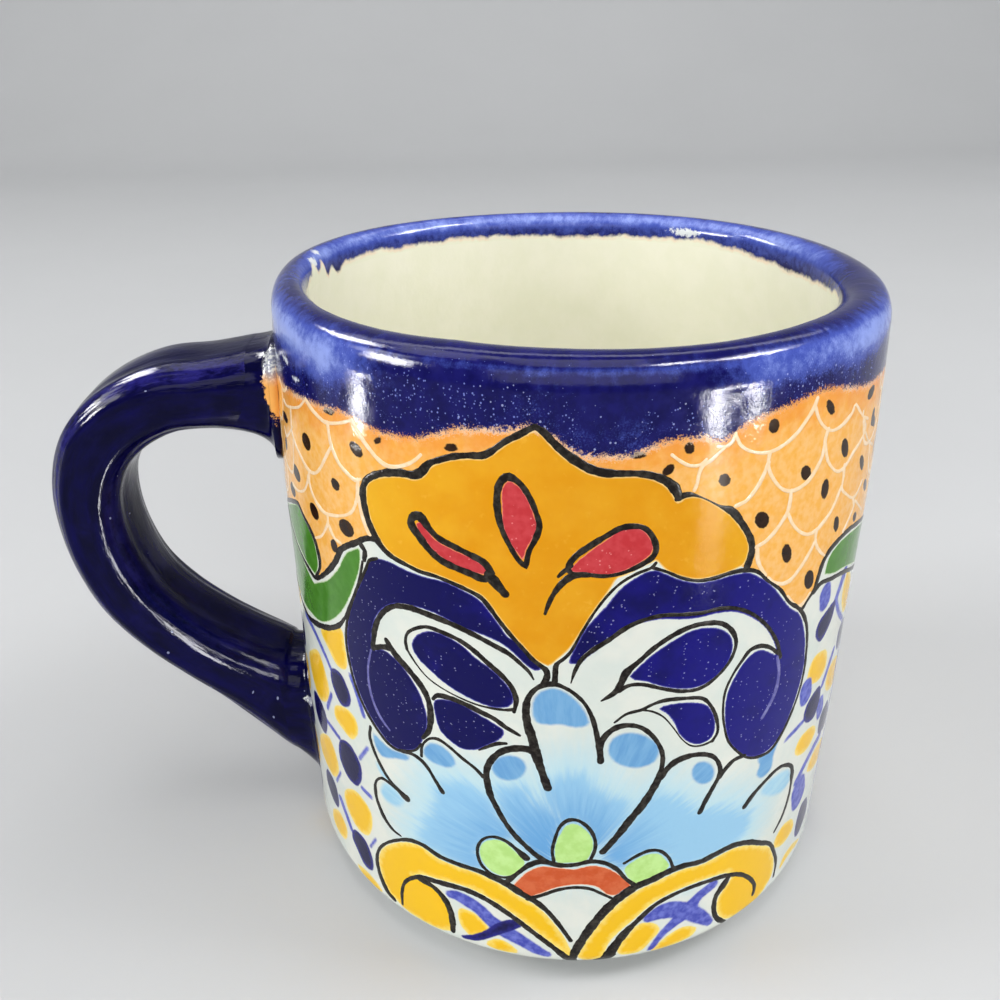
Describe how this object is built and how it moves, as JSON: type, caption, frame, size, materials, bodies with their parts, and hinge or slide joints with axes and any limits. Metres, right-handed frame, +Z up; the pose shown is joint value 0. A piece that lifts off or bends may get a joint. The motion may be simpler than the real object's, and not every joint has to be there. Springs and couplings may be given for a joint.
{
  "type": "clay mug",
  "caption": "Hand-painted clay mug: thick straight cup with rounded lip and heel, blue lip band, cream lining and a wide blue strap handle luted to the wall.",
  "frame": {"origin": "on the axis of the cup, at the table, in the middle of the flat foot", "axes": "+Z up along the axis of the cup, the handle points along -X, the main painted face looks along -Y"},
  "size_m": [0.1244, 0.0892, 0.096],
  "materials": {
    "bare_clay": "bare fired earthenware, matte",
    "glazed_slip": "slip joint under dark blue glaze, glossy",
    "cream_glaze": "plain cream lining, glossy",
    "painted_glaze": "white ground with painted ornament in orange, yellow, blue, green and red, glossy",
    "cobalt_glaze": "cobalt blue, glossy"
  },
  "bodies": {
    "root": {"clay_cup": "bare_clay", "handle": "bare_clay", "upper_joint": "glazed_slip", "lower_joint": "glazed_slip", "inside_glaze": "cream_glaze", "outside_glaze": "painted_glaze", "rim_glaze": "cobalt_glaze", "handle_glaze": "cobalt_glaze"}
  },
  "joints": []
}
